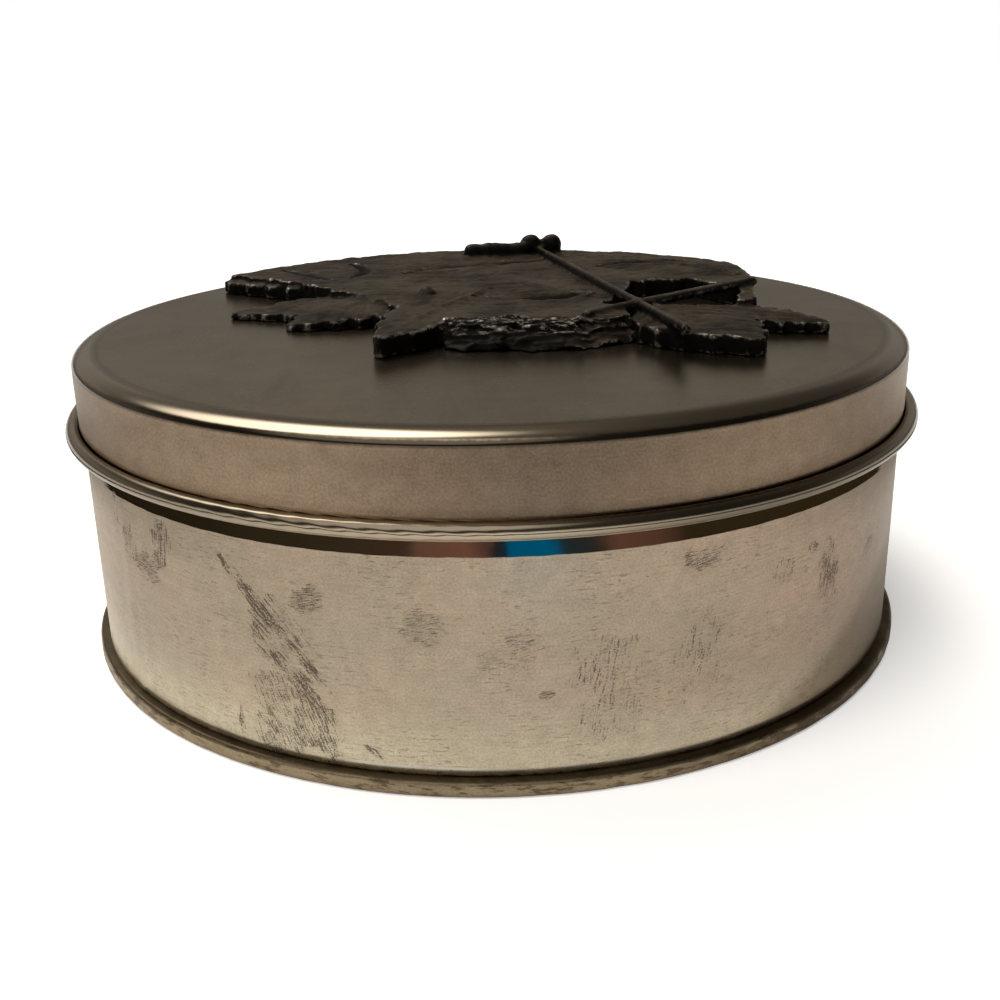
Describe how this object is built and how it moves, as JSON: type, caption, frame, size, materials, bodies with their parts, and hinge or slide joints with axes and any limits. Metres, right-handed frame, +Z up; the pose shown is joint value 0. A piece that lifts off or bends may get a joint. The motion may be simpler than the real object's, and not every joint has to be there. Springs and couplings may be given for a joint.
{
  "type": "round slip-lid tin",
  "caption": "Shut round metal tin with a seamed base, a slip-on lid with a rolled edge and a dark cast ornament of leaves, stems and berries on the lid",
  "frame": {"origin": "centre of the underside, on the tin's axis, at the level that it stands on", "axes": "+Z up along the tin's axis, -Y towards the front, +X to the right seen from the front"},
  "size_m": [0.1672, 0.1672, 0.0676],
  "materials": {
    "wall_metal": "warm satin tinplate with fine lines round it, scuffs and smudges, and a bright strip under the lid",
    "base_metal": "satin tinplate, the seam worn and tarnished brown",
    "lid_metal": "satin tinplate, darker and finely pitted on top, bright on the shoulder and the rolled edge",
    "cast_metal": "dark patinated casting, dull on its flats and glossy on its edges"
  },
  "bodies": {
    "root": {"body": "wall_metal", "base": "base_metal", "lid": "lid_metal", "ornament": "cast_metal"}
  },
  "joints": []
}
